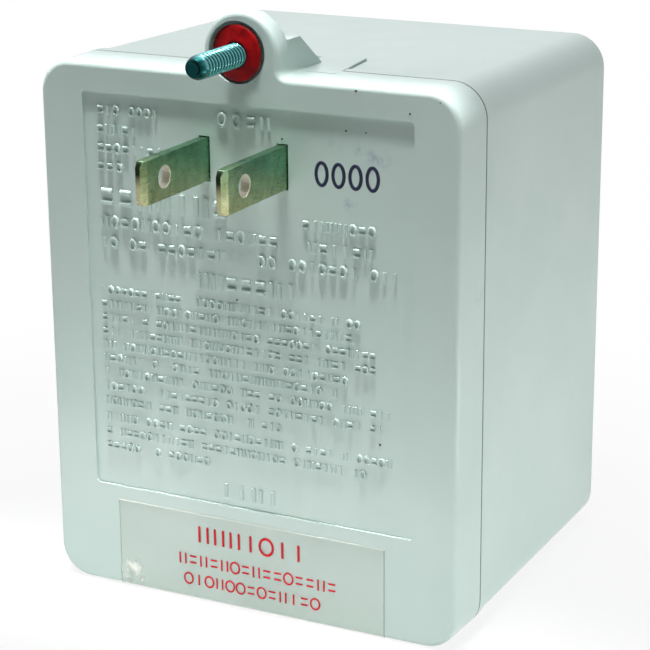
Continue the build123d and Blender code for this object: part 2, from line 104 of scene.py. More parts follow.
def tint(tree, factor, first, second):
    return addNode(tree, "ShaderNodeMix", {
        0: factor, 6: (*first, 1) if isinstance(first, tuple) else first,
        7: (*second, 1) if isinstance(second, tuple) else second}, data_type="RGBA").outputs[2]


def relief(tree, height, strength, distance, normal=None):
    inputs = {"Height": height, "Strength": strength, "Distance": distance}
    if normal:
        inputs["Normal"] = normal
    return addNode(tree, "ShaderNodeBump", inputs).outputs["Normal"]


def arith(tree, operation, first, second=0.0):
    return addNode(tree, "ShaderNodeMath", {0: first, 1: second}, operation=operation).outputs[0]


def apart(tree, place, point):  # how far a place is from a point given in millimetres
    return addNode(tree, "ShaderNodeVectorMath", {0: place, 1: tuple(value * mm for value in point)},
                   operation="DISTANCE").outputs["Value"]


def mapped(tree, value, start, end, low=0.0, high=1.0, interpolation="LINEAR"):
    return addNode(tree, "ShaderNodeMapRange", {
        "Value": value, "From Min": start, "From Max": end, "To Min": low, "To Max": high},
        interpolation_type=interpolation).outputs[0]


def axesOf(tree, vector):
    return addNode(tree, "ShaderNodeSeparateXYZ", {"Vector": vector}).outputs


def flattened(tree, place, kept):  # without the axes whose share is 0
    return addNode(tree, "ShaderNodeVectorMath", {0: place, 1: kept}, operation="MULTIPLY").outputs[0]


def asColour(red, green, blue):  # the 0 to 255 values given, as the shader wants them
    def linear(value):
        value /= 255
        return value / 12.92 if value <= 0.04045 else ((value + 0.055) / 1.055) ** 2.4
    return tuple(round(linear(value), 4) for value in (red, green, blue))


# Camera: the photograph's own place, worked out from the case's edges
cameraSet = {
    "azimuth": 27.26,
    "elevation": 17.19,
    "roll": -0.44,
    "distance": 308.2,
    "aim": (13.11, 0.0, -22.31),
    "focalPixels": 2161.5,
    "framePixels": 650,
    "sensor": 36.0,
}


def makeCamera(spec):
    data = bpy.data.cameras.new("camera")
    data.sensor_fit = "HORIZONTAL"
    data.sensor_width = spec["sensor"]
    data.lens = spec["focalPixels"] / spec["framePixels"] * spec["sensor"]
    data.clip_start, data.clip_end = 0.01, 20
    camera = addObject("camera", data)
    turn, lift = math.radians(spec["azimuth"]), math.radians(spec["elevation"])
    back = Vector((math.sin(turn) * math.cos(lift), -math.cos(turn) * math.cos(lift), math.sin(lift)))
    right = Vector((math.cos(turn), math.sin(turn), 0))
    up = back.cross(right)
    roll = math.radians(spec["roll"])
    across = math.cos(roll) * right + math.sin(roll) * up
    upward = back.cross(across)
    place = (Vector(spec["aim"]) + spec["distance"] * back) * mm
    camera.matrix_world = Matrix((
        (across.x, upward.x, back.x, place.x),
        (across.y, upward.y, back.y, place.y),
        (across.z, upward.z, back.z, place.z),
        (0, 0, 0, 1)))
    bpy.context.scene.camera = camera


makeCamera(cameraSet)
bpy.context.scene.view_settings.view_transform = "Standard"
print("camera placed")


# Studio: a pale floor that fades into a white surround, a soft box above and five weaker lamps round the case
studioSet = {
    "floorHalf": 3000.0,
    "floorGrey": 0.93,
    "shadowCentre": (0.0, -20.0),
    "shadowRadius": 60.0,
    "fadeRadius": 190.0,
    "nearWhite": 0.86,
    "surround": 0.05,
    "surroundTint": (0.84, 1.0, 0.96),
    "lamps": {
        "top": {"place": (-40, 150, 330), "aim": (0, 35, -20), "size": (420, 240), "watts": 0.80,
                "tint": (1.0, 0.95, 1.0)},
        "brow": {"place": (-30, -26, 240), "aim": (-30, -12, 0), "size": (240, 24), "watts": 0.26,
                 "tint": (1.0, 0.98, 1.0)},
        "rake": {"place": (-4, -13, 110), "aim": (-4, -3, -60), "size": (112, 8), "watts": 0.014, "spread": 18,
                 "tint": (1.0, 0.99, 1.0)},
        "right": {"place": (330, 20, 230), "aim": (10, 20, 0), "size": (160, 160), "watts": 0.05,
                  "tint": (1.0, 0.98, 1.0)},
        "low": {"place": (-8, -46, -68.6), "aim": (-6, 0, -66), "size": (140, 3), "watts": 0.024,
                "tint": (1.0, 0.99, 0.98)},
        "side": {"place": (132, 20, -68), "aim": (34, 24, -63), "size": (120, 5), "watts": 0.075,
                 "tint": (1.0, 0.99, 0.99)},
    },
}


def isBackground(tree):
    path = addNode(tree, "ShaderNodeLightPath")
    either = arith(tree, "MAXIMUM", path.outputs["Is Camera Ray"], path.outputs["Is Glossy Ray"])
    return arith(tree, "MAXIMUM", either, path.outputs["Is Transmission Ray"])


def makeSurround(level, shade):
    world = bpy.data.worlds.new("surround")
    bpy.context.scene.world = world
    world.use_nodes = True
    tree = world.node_tree
    tree.nodes.clear()
    plain = addNode(tree, "ShaderNodeBackground", {"Color": (*shade, 1), "Strength": level})
    white = addNode(tree, "ShaderNodeBackground", {"Color": (1, 1, 1, 1), "Strength": 1.0})
    mixed = addNode(tree, "ShaderNodeMixShader", {
        0: isBackground(tree), 1: plain.outputs[0], 2: white.outputs[0]})
    addNode(tree, "ShaderNodeOutputWorld", {"Surface": mixed.outputs[0]})


def makeFloor(spec):
    half, level = spec["floorHalf"] * mm, cadBox[0].z
    mesh = bpy.data.meshes.new("floor")
    mesh.from_pydata([(-half, -half, level), (half, -half, level), (half, half, level), (-half, half, level)],
                     [], [(0, 1, 2, 3)])
    floor = addObject("floor", mesh)
    made, tree, shader, place = startMaterial("paleFloor", Roughness=0.9, Specular_IOR_Level=0.1)
    shader.inputs["Base Color"].default_value = (*[spec["floorGrey"]] * 3, 1)
    reach = apart(tree, place, (*spec["shadowCentre"], level / mm))
    fade = mapped(tree, reach, spec["shadowRadius"] * mm, spec["fadeRadius"] * mm, spec["nearWhite"], 1.0,
                  "SMOOTHSTEP")
    share = arith(tree, "MULTIPLY", fade, isBackground(tree))
    white = addNode(tree, "ShaderNodeEmission", {"Color": (1, 1, 1, 1), "Strength": 1.0})
    mixed = addNode(tree, "ShaderNodeMixShader", {0: share, 1: shader.outputs[0], 2: white.outputs[0]})
    tree.links.new(mixed.outputs[0], tree.nodes["Material Output"].inputs["Surface"])
    mesh.materials.append(made)


def makeLamp(name, spec):
    data = bpy.data.lights.new(name, "AREA")
    data.shape = "RECTANGLE"
    data.size, data.size_y = (side * mm for side in spec["size"])
    data.energy = spec["watts"]
    data.color = spec["tint"]
    data.spread = math.radians(spec.get("spread", 180))
    lamp = addObject(name, data)
    lamp.visible_camera = False
    lamp.location = Vector(spec["place"]) * mm
    lamp.rotation_euler = (Vector(spec["aim"]) - Vector(spec["place"])).to_track_quat("-Z", "Y").to_euler()


makeSurround(studioSet["surround"], studioSet["surroundTint"])
makeFloor(studioSet)
for lampName, lampSpec in studioSet["lamps"].items():
    makeLamp(lampName, lampSpec)
print("studio lit")


# Case plastic: pale grey-green, with a fine moulded grain, handling marks, a few inky smudges and a painted shade line
# along its seam
caseSet = {
    "pale": asColour(205, 224, 218),
    "deep": asColour(198, 218, 211),
    "stain": asColour(184, 200, 190),
    # the seam entry is a painted shade line where the cover meets the housing
    "seam": {"deep": 8.6, "half": 0.16, "core": 0.3, "strength": 0.62, "tone": asColour(70, 92, 84)},
    "saddle": {"half": 11.7, "foot": 12.2},
    "grainScale": 2600.0,
    "grainHeight": 0.005,
    "smudges": ((17.0, 0.4, -4.4, 1.5, 0.55), (20.4, 0.4, 2.7, 1.6, 0.6), (18.2, 0.4, 3.6, 1.3, 0.5),
                (22.1, 0.4, 2.5, 1.5, 0.55), (14.6, 0.4, 4.4, 2.6, 0.25), (33.9, 6.5, -16.9, 1.8, 0.3)),
    "smudgeInk": asColour(104, 134, 160),
}


def casePlastic(spec):
    made, tree, shader, place = startMaterial("casePlastic", Specular_IOR_Level=0.42)
    mottle = ramp(tree, cloud(tree, place, 30, 4), [(0.35, spec["deep"]), (0.65, spec["pale"])])
    grime = ramp(tree, cloud(tree, place, 9, 5, 0.6), [(0.62, 0.0), (0.85, 0.22)])
    colour = tint(tree, grime, mottle, spec["stain"])
    patchy = ramp(tree, cloud(tree, place, 700, 4, 0.7), [(0.42, 0.0), (0.66, 1.0)])
    for x, y, z, radius, strength in spec["smudges"]:
        near = mapped(tree, apart(tree, place, (x, y, z)), 0.0, radius * mm, strength, 0.0)
        colour = tint(tree, arith(tree, "MULTIPLY", near, patchy), colour, spec["smudgeInk"])
    # painted shade: a dark line along the seam between the housing and the cover, left off the saddle
    seam, saddle = spec["seam"], spec["saddle"]
    axes = axesOf(tree, place)
    offSeam = arith(tree, "ABSOLUTE", arith(tree, "SUBTRACT", axes["Y"], seam["deep"] * mm))
    seamShadeLine = mapped(tree, offSeam, seam["core"] * seam["half"] * mm, seam["half"] * mm, seam["strength"], 0.0)
    aside = arith(tree, "GREATER_THAN", arith(tree, "ABSOLUTE", axes["X"]), saddle["half"] * mm)
    below = arith(tree, "LESS_THAN", axes["Z"], saddle["foot"] * mm)
    offSaddle = arith(tree, "MAXIMUM", aside, below)
    colour = tint(tree, arith(tree, "MULTIPLY", seamShadeLine, offSaddle), colour, seam["tone"])
    tree.links.new(colour, shader.inputs["Base Color"])
    gloss = ramp(tree, cloud(tree, place, 160, 3), [(0.3, 0.30), (0.7, 0.42)])
    tree.links.new(gloss, shader.inputs["Roughness"])
    waves = relief(tree, cloud(tree, place, 60, 2), 0.2, 0.05 * mm)
    grain = cloud(tree, place, spec["grainScale"], 2, 0.6)
    tree.links.new(relief(tree, grain, 0.3, spec["grainHeight"] * mm, waves), shader.inputs["Normal"])
    return made


casePaint = casePlastic(caseSet)


# Metals share one recipe: a tone that varies, fine drawn lines along one axis, and dull patches
def metal(name, bright, dull, lines, lineStrength, smooth, rough, stain=None):
    made, tree, shader, place = startMaterial(name, Metallic=1.0)
    tone = ramp(tree, cloud(tree, place, 420, 4, 0.6), [(0.35, dull), (0.62, bright)])
    if stain:
        tone = tint(tree, ramp(tree, cloud(tree, place, 900, 5, 0.75), [(0.56, 0.0), (0.7, 0.75)]), tone, stain)
    tree.links.new(tone, shader.inputs["Base Color"])
    stretched = addNode(tree, "ShaderNodeMapping", {"Vector": place, "Scale": lines}).outputs[0]
    drawn = cloud(tree, stretched, 1.0, 2, 0.5)
    tree.links.new(ramp(tree, drawn, [(0.3, smooth), (0.7, rough)]), shader.inputs["Roughness"])
    tree.links.new(relief(tree, drawn, lineStrength, 0.01 * mm), shader.inputs["Normal"])
    return made


def plastic(name, pale, deep, roughness, scale, bump, level):
    made, tree, shader, place = startMaterial(name, Specular_IOR_Level=level)
    patches = cloud(tree, place, scale, 4, 0.6)
    tree.links.new(ramp(tree, patches, [(0.35, deep), (0.66, pale)]), shader.inputs["Base Color"])
    tree.links.new(ramp(tree, patches, [(0.3, roughness * 0.85), (0.7, min(1.0, roughness * 1.2))]),
                   shader.inputs["Roughness"])
    tree.links.new(relief(tree, cloud(tree, place, 4 * scale, 3, 0.6), 0.4, bump * mm), shader.inputs["Normal"])
    return made


screwAxis = (-0.45, 15.5)  # x and z of the mounting screw and of its washer

zincSet = {
    "axis": (screwAxis[0], 0.0, screwAxis[1]),
    "shadedRootRadius": 1.2,
    "litCrestRadius": 1.8,
    "patchiness": 0.16,
    # painted shade and painted highlight colours, from the thread's root out to its crest
    "root": (0.004, 0.035, 0.035),
    "flank": (0.014, 0.10, 0.10),
    "crest": (0.13, 0.33, 0.33),
}


def zincPlate(spec):  # painted shade in the roots of the thread and painted highlights on its crests, for the dark surroundings the screw mirrors
    made, tree, shader, place = startMaterial("zincPlate", Metallic=1.0)
    # painted shade near the axis, turning to a painted highlight out at the crests
    away = apart(tree, flattened(tree, place, (1, 0, 1)), spec["axis"])
    out = mapped(tree, away, spec["shadedRootRadius"] * mm, spec["litCrestRadius"] * mm)
    shadeAndGleam = arith(tree, "ADD", out, arith(tree, "MULTIPLY", cloud(tree, place, 2200, 3), spec["patchiness"]))
    tone = ramp(tree, shadeAndGleam, [(0.30, spec["root"]), (0.72, spec["flank"]), (0.98, spec["crest"])])
    tree.links.new(tone, shader.inputs["Base Color"])
    tree.links.new(ramp(tree, cloud(tree, place, 1400, 3), [(0.3, 0.14), (0.7, 0.26)]), shader.inputs["Roughness"])
    tree.links.new(relief(tree, cloud(tree, place, 3000, 2), 0.2, 0.01 * mm), shader.inputs["Normal"])
    return made


bladeSet = {
    "bright": (0.62, 0.66, 0.50),
    "dull": (0.42, 0.46, 0.33),
    "lines": (260, 260, 5200),
    "stain": (0.22, 0.20, 0.10),
    # painted reflection colours on the blade's faces: green-teal above, khaki below
    "upper": (0.26, 0.56, 0.44),
    "lower": (0.92, 0.86, 0.62),
    "toneHeights": (-8.0, 1.5),
    "toneSlant": 0.30,
    "patchiness": 0.2,
    # painted reflection on the tip's slopes: near black above, pale below
    "tipHigh": (0.012, 0.02, 0.012),
    "tipLow": (0.36, 0.36, 0.22),
    "tipHeights": (-3.4, 2.6),
    "tipStart": -14.0,
    "tipFacing": (-0.45, -0.75),
    "hole": (0.0, -11.9, 0.0),
    "holeRadius": 1.60,
    "holeEdge": 0.12,
    "punched": (0.66, 0.64, 0.50),
}


def bladeReflectionTone(tree, place, axes, spec):  # painted reflection: darker and greener above, paler and brassier below
    low, high = spec["toneHeights"]
    slant = arith(tree, "ADD", axes["Z"], arith(tree, "MULTIPLY", axes["Y"], spec["toneSlant"]))
    patches = arith(tree, "MULTIPLY", cloud(tree, place, 220, 2), spec["patchiness"])
    height = arith(tree, "ADD", mapped(tree, slant, low * mm, high * mm), patches)
    return ramp(tree, height, [(0.15, spec["lower"]), (0.95, spec["upper"])])


# painted reflection on the tip's slopes, dark at the top and pale at the foot
def bladeTipReflection(tree, axes, spec):
    low, high = spec["tipHeights"]
    height = mapped(tree, axes["Z"], low * mm, high * mm)
    return ramp(tree, height, [(0.0, spec["tipLow"]), (0.45, spec["tipLow"]), (0.8, spec["tipHigh"])])


def bladePlating(spec):  # drawn strip with painted reflections: dark slopes at its tip, greener above and paler below; brighter where its hole was punched
    made = metal("bladePlate", spec["bright"], spec["dull"], spec["lines"], 0.35, 0.24, 0.38, spec["stain"])
    tree = made.node_tree
    shader = tree.nodes["Principled BSDF"]
    place = addNode(tree, "ShaderNodeTexCoord").outputs["Object"]
    axes = axesOf(tree, place)
    plain = shader.inputs["Base Color"].links[0].from_socket
    shaded = addNode(tree, "ShaderNodeMix", {0: 1.0, 6: plain, 7: bladeReflectionTone(tree, place, axes, spec)},
                     data_type="RGBA", blend_type="MULTIPLY").outputs[2]
    outward = axesOf(tree, addNode(tree, "ShaderNodeNewGeometry").outputs["Normal"])
    onTip = arith(tree, "MULTIPLY", mapped(tree, outward["Y"], *spec["tipFacing"]),
                  arith(tree, "LESS_THAN", axes["Y"], spec["tipStart"] * mm))
    shaded = tint(tree, onTip, shaded, bladeTipReflection(tree, axes, spec))
    away = apart(tree, flattened(tree, place, (0, 1, 1)), spec["hole"])
    inHole = mapped(tree, away, spec["holeRadius"] * mm, (spec["holeRadius"] + spec["holeEdge"]) * mm, 1.0, 0.0)
    tree.links.new(tint(tree, inHole, shaded, spec["punched"]), shader.inputs["Base Color"])
    tree.links.new(arith(tree, "SUBTRACT", 1.0, inHole), shader.inputs["Metallic"])
    return made


screwZinc = zincPlate(zincSet)
bladePlate = bladePlating(bladeSet)
terminalBrass = metal("terminalBrass", (0.80, 0.62, 0.28), (0.62, 0.45, 0.18), (4200, 300, 4200), 0.3, 0.2, 0.36)
clampSteel = metal("clampSteel", (0.62, 0.63, 0.62), (0.45, 0.47, 0.47), (4200, 400, 4200), 0.3, 0.22, 0.4)
redFibre = plastic("redFibre", (0.42, 0.004, 0.006), (0.20, 0.001, 0.003), 0.5, 700, 0.02, 0.12)
printRed = plastic("labelPrint", (0.74, 0.012, 0.02), (0.60, 0.01, 0.02), 0.5, 900, 0.004, 0.2)
stampInk = plastic("stampInk", (0.006, 0.009, 0.03), (0.010, 0.014, 0.05), 0.6, 1600, 0.006, 0.3)
speckDirt = plastic("speckDirt", (0.03, 0.028, 0.025), (0.012, 0.012, 0.012), 0.7, 3000, 0.02, 0.3)
nylon = plastic("bobbinNylon", (0.78, 0.74, 0.62), (0.70, 0.66, 0.54), 0.4, 220, 0.02, 0.45)
board = plastic("insulatingBoard", (0.22, 0.12, 0.055), (0.13, 0.07, 0.035), 0.6, 900, 0.04, 0.3)
darkCase = plastic("protectorCase", (0.028, 0.028, 0.03), (0.015, 0.015, 0.016), 0.36, 600, 0.02, 0.5)
leadSleeve = plastic("leadSleeve", (0.02, 0.02, 0.022), (0.01, 0.01, 0.011), 0.32, 1500, 0.01, 0.5)


waveBands = 10 / math.pi  # bands in each metre that a wave texture draws at scale 1


def bandedMaterial(name, light, dark, axis, perMillimetre, depth, roughness, metallic=0.0):
    made, tree, shader, place = startMaterial(name, Metallic=metallic)
    bands = addNode(tree, "ShaderNodeTexWave", {
        "Vector": place, "Scale": perMillimetre / mm / waveBands, "Distortion": 0.6, "Detail": 2.0,
        "Detail Scale": 0.4}, wave_type="BANDS", bands_direction=axis, wave_profile="SIN").outputs["Fac"]
    patches = cloud(tree, place, 130, 3)
    shade = tint(tree, arith(tree, "MULTIPLY", bands, ramp(tree, patches, [(0.2, 0.75), (0.8, 1.0)])), dark, light)
    tree.links.new(shade, shader.inputs["Base Color"])
    tree.links.new(ramp(tree, patches, [(0.3, roughness), (0.7, roughness + 0.14)]), shader.inputs["Roughness"])
    tree.links.new(relief(tree, bands, 0.6, depth * mm), shader.inputs["Normal"])
    return made


lamination = bandedMaterial("laminations", (0.20, 0.215, 0.235), (0.055, 0.058, 0.065), "Y", 2.0, 0.06, 0.34, 0.85)
copperWire = bandedMaterial("copperWire", (0.62, 0.20, 0.07), (0.22, 0.06, 0.02), "Z", 2.8, 0.12, 0.26, 1.0)
tapeWrap = bandedMaterial("tapeWrap", (0.78, 0.56, 0.07), (0.62, 0.42, 0.045), "Z", 0.16, 0.05, 0.28)

nodeFinishes = {
    "blade_retainer": board, "core_e_stack": lamination, "core_i_stack": lamination, "coil_bobbin": nylon,
    "primary_winding": copperWire, "secondary_winding": copperWire, "primary_tape": tapeWrap,
    "secondary_tape": tapeWrap, "thermal_cutoff": darkCase, "secondary_fuse": darkCase,
    "primary_lead_left": leadSleeve, "primary_lead_right": leadSleeve, "secondary_lead_left": leadSleeve,
    "secondary_lead_right": leadSleeve,
}
for nodeName, finish in nodeFinishes.items():
    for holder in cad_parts[nodeName].material_slots:
        holder.material = finish
print("inner pieces finished:", len(nodeFinishes))


# Meshes of one's own
def newPiece(name, points, faces, material, smoothBelow):
    mesh = bpy.data.meshes.new(name)
    mesh.from_pydata([tuple(value * mm for value in point) for point in points], [], faces)
    mesh.validate()
    piece = addObject(name, mesh)
    mesh.materials.append(material)
    mesh.shade_smooth()
    mesh.set_sharp_from_angle(angle=math.radians(smoothBelow))
    return piece


def cleanMesh(piece, distance=0.001):
    shape = bmesh.new()
    shape.from_mesh(piece.data)
    bmesh.ops.remove_doubles(shape, verts=shape.verts, dist=distance * mm)
    bmesh.ops.recalc_face_normals(shape, faces=shape.faces)
    shape.to_mesh(piece.data)
    shape.free()


copySet = {"mergeWithin": 0.002, "flatWithin": 0.5, "cutTolerance": 0.0001}


def cutAcross(shape, place, direction, **settings):  # gives the edges that the cut leaves
    cut = bmesh.ops.bisect_plane(shape, geom=shape.verts[:] + shape.edges[:] + shape.faces[:],
                                 dist=copySet["cutTolerance"] * mm, plane_co=[value * mm for value in place],
                                 plane_no=direction, **settings)
    return [part for part in cut["geom_cut"] if isinstance(part, bmesh.types.BMEdge)]


# A shaded copy of a solid: its doubles are merged, and sharp edges get a small round
def refinedCopy(nodeName, material, body, width, segments=2, smoothBelow=32, keepBehind=None,
                crossAt=None):
    shape = bmesh.new()
    shape.from_mesh(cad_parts[nodeName].data)
    bmesh.ops.remove_doubles(shape, verts=shape.verts, dist=copySet["mergeWithin"] * mm)
    if crossAt:  # a flat with a hole is kept in four parts, so that it is triangulated soundly
        for direction in ((0, 1, 0), (0, 0, 1)):
            for edge in cutAcross(shape, crossAt, direction):
                edge.seam = True
    bmesh.ops.dissolve_limit(shape, angle_limit=math.radians(copySet["flatWithin"]), verts=shape.verts,
                             edges=shape.edges, delimit={"NORMAL", "SEAM"})
    if keepBehind is not None:
        rim = cutAcross(shape, (0, keepBehind, 0), (0, 1, 0), clear_inner=True)
        bmesh.ops.contextual_create(shape, geom=rim)
    mesh = bpy.data.meshes.new(nodeName + "_skin")
    shape.to_mesh(mesh)
    shape.free()
    mesh.materials.clear()
    mesh.materials.append(material)
    skin = addObject(nodeName + "_skin", mesh)
    rounded = skin.modifiers.new("edges", "BEVEL")
    rounded.width = width * mm
    rounded.segments = segments
    rounded.limit_method = "ANGLE"
    rounded.angle_limit = math.radians(smoothBelow)
    rounded.miter_outer = "MITER_ARC"
    mesh.shade_smooth()
    mesh.set_sharp_from_angle(angle=math.radians(smoothBelow))
    skin.modifiers.new("weights", "WEIGHTED_NORMAL").keep_sharp = True
    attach(skin, body)
    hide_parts(nodeName)
    return skin


recessSet = {
    "centre": (0.0, 15.6),
    "innerRadius": 3.0,
    "outerRadius": 4.9,
    "deep": 1.6,
    "scale": 0.96,
    "shift": (-0.54, 0.22),
}


def moveRecess(skin, spec):  # the photograph shows the washer's recess a little smaller, further left and higher
    (centreX, centreZ), (shiftX, shiftZ) = spec["centre"], spec["shift"]
    for corner in skin.data.vertices:
        x, z = corner.co.x / mm - centreX, corner.co.z / mm - centreZ
        if spec["innerRadius"] < math.hypot(x, z) < spec["outerRadius"] and corner.co.y < spec["deep"] * mm:
            corner.co.x = (centreX + shiftX + spec["scale"] * x) * mm
            corner.co.z = (centreZ + shiftZ + spec["scale"] * z) * mm


caseSkins = [refinedCopy(nodeName, casePaint, "enclosure", 0.15)
             for nodeName in ("main_housing", "wall_side_cover")]
moveRecess(caseSkins[1], recessSet)
for side in ("left", "right"):
    refinedCopy("line_blade_" + side, bladePlate, "enclosure", 0.1, crossAt=bladeSet["hole"])
    refinedCopy("terminal_plate_" + side, terminalBrass, "enclosure", 0.1)
    refinedCopy("clamp_washer_" + side, clampSteel, side + "_clamp", 0.12, 3)
    refinedCopy("terminal_screw_" + side, clampSteel, side + "_terminal_screw", 0.15, 3)
print("case, blades and terminals skinned:", [len(skin.data.polygons) for skin in caseSkins])


# Mounting screw: the head and shank of the solid, and a rolled thread with a tapered, dished tip
screwSet = {
    "axis": screwAxis,
    "tip": -12.03,
    "threadEnd": 0.0,
    "shankEnd": 0.6,
    "shankRadius": 1.5,
    "overlap": 0.1,
    "pitch": 0.794,
    "crestRadius": 1.7525,
    "rootRadius": 1.29,
    "crestFlat": 0.14,
    "rootFlat": 0.10,
    "leadIn": 1.3,
    "cutDelay": 0.7,
    "runout": 0.6,
    "tipRadius": 1.30,
    "dish": ((1.20, -0.05), (1.06, 0.0), (0.88, 0.24), (0.5, 0.46), (0.16, 0.52)),
    "turns": 56,
    "rowsPerPitch": 10,
}


def threadRadius(spec, along, turned):
    wave = (along / spec["pitch"] - turned) % 1.0
    slope = (1 - spec["crestFlat"] - spec["rootFlat"]) / 2
    if wave < spec["rootFlat"]:
        height = 0.0
    elif wave < spec["rootFlat"] + slope:
        height = (wave - spec["rootFlat"]) / slope
    elif wave < spec["rootFlat"] + slope + spec["crestFlat"]:
        height = 1.0
    else:
        height = (1.0 - wave) / slope
    length = spec["threadEnd"] - spec["tip"]
    if along > length:
        return spec["shankRadius"]
    point = math.sin(min(1.0, along / spec["leadIn"]) * math.pi / 2)
    outer = spec["tipRadius"] + (spec["crestRadius"] - spec["tipRadius"]) * point
    cut = min(1.0, max(0.0, along / spec["leadIn"] - spec["cutDelay"]))
    cut *= min(1.0, max(0.0, (length - along) / (spec["runout"] * spec["pitch"])))
    return outer - (spec["crestRadius"] - spec["rootRadius"]) * cut * (1 - height)


def makeThreadedScrew(spec):
    x, z = spec["axis"]
    turns, perPitch = spec["turns"], spec["rowsPerPitch"]
    length = spec["shankEnd"] - spec["tip"]
    last = math.ceil((length / spec["pitch"] + 1) * perPitch)
    points, faces = [], []

    def addPoint(radius, along, turned):
        angle = -2 * math.pi * turned
        points.append((x + radius * math.cos(angle), spec["tip"] + along, z + radius * math.sin(angle)))

    for row in range(last + 1):
        for turn in range(turns):
            turned = turn / turns
            along = min(length, max(0.0, (row / perPitch - 1 + turned) * spec["pitch"]))
            addPoint(threadRadius(spec, along, turned), along, turned)

    def cornerAt(row, turn):  # a whole turn round is a pitch further along
        return row * turns + turn if turn < turns else min(row + perPitch, last) * turns

    for row in range(last):
        for turn in range(turns):
            faces.append((cornerAt(row, turn), cornerAt(row + 1, turn), cornerAt(row + 1, turn + 1),
                          cornerAt(row, turn + 1)))
    before = 0
    for radius, along in spec["dish"]:
        after = len(points)
        for turn in range(turns):
            addPoint(radius, along, turn / turns)
            beside = (turn + 1) % turns
            faces.append((before + turn, before + beside, after + beside, after + turn))
        before = after
    faces.append(tuple(range(before, before + turns)))
    faces.append(tuple(last * turns + turn for turn in range(turns)))
    return points, faces


refinedCopy("mounting_screw", screwZinc, "mounting_screw", 0.18, 3, 25,
            keepBehind=screwSet["shankEnd"] - screwSet["overlap"])
thread = newPiece("mounting_screw_thread", *makeThreadedScrew(screwSet), screwZinc, 75)
cleanMesh(thread)
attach(thread, "mounting_screw")
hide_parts("mounting_screw")


# Retaining washer: a punched fibre ring, pushed a little out of flat where the screw bears on it
washerSet = {
    "axis": screwAxis,
    "shift": (-0.16, 0.24),
    "tilt": 6.5,
    "profile": ((1.84, 0.42), (3.98, 0.46), (4.02, 0.42), (4.02, 0.13), (3.94, 0.03), (3.6, -0.05), (3.0, -0.13),
                (2.5, -0.25), (2.15, -0.38), (1.95, -0.41), (1.84, -0.34)),
    "flatPoints": 3,
    "turns": 96,
    "wave": 0.04,
    "wavePhase": 0.6,
}


def makeWasher(spec):
    x, z = spec["axis"]
    turns, count = spec["turns"], len(spec["profile"])
    radii = [radius for radius, _ in spec["profile"]]
    inner, outer = min(radii), max(radii)
    slope = math.tan(math.radians(spec["tilt"]))
    points, faces = [], []
    for turn in range(turns):
        angle = 2 * math.pi * turn / turns
        for step, (radius, deep) in enumerate(spec["profile"]):
            share = (radius - inner) / (outer - inner)
            across = radius * math.cos(angle) + share * spec["shift"][0]
            if step >= spec["flatPoints"]:
                deep += spec["wave"] * math.sin(2 * angle + spec["wavePhase"])
            points.append((x + across, deep - slope * across, z + radius * math.sin(angle) + share * spec["shift"][1]))
        beside = (turn + 1) % turns
        for step in range(count):
            after = (step + 1) % count
            faces.append((turn * count + step, turn * count + after, beside * count + after, beside * count + step))
    return points, faces


washer = newPiece("retaining_washer_ring", *makeWasher(washerSet), redFibre, 50)
cleanMesh(washer)
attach(washer, "screw_washer")
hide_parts("retaining_washer")
print("screw and washer made:", len(thread.data.polygons), len(washer.data.polygons))


# Clear label: a thin film that follows the cover's lower edge, with a bubble at its left end
labelSet = {
    "left": -22.8,
    "right": 22.55,
    "top": -55.2,
    "bendCentre": (0.75, -68.594),
    "bendRadius": 0.75,
    "wrap": 60.0,
    "thickness": 0.12,
    "underside": 0.01,
    "waves": {"height": 0.012, "perMillimetre": 0.5, "slice": 3.0},
    "columns": 90,
    "rows": 44,
    "bendRows": 8,
    "bubble": {"place": (-20.6, -66.75), "reach": (2.3, 1.15), "height": 0.42,
               "raggedBy": 0.25, "raggedTurns": 1.7, "crease": 0.25, "creaseTurns": (5.2, 2.1),
               "veil": {"depth": -0.4, "from": 0.6, "to": 2.6}},
    "edge": 0.10,
    # painted light on the film: more opaque round the bubble as a painted sheen, a bright top edge as a painted
    # highlight, darker side edges as painted shade
    "alpha": {"plain": 0.10, "bubble": 0.7, "side": 0.26, "top": 0.75},
    "tones": {"deep": asColour(226, 232, 222), "pale": asColour(244, 246, 238), "side": asColour(120, 140, 124),
              "top": asColour(252, 253, 246)},
}


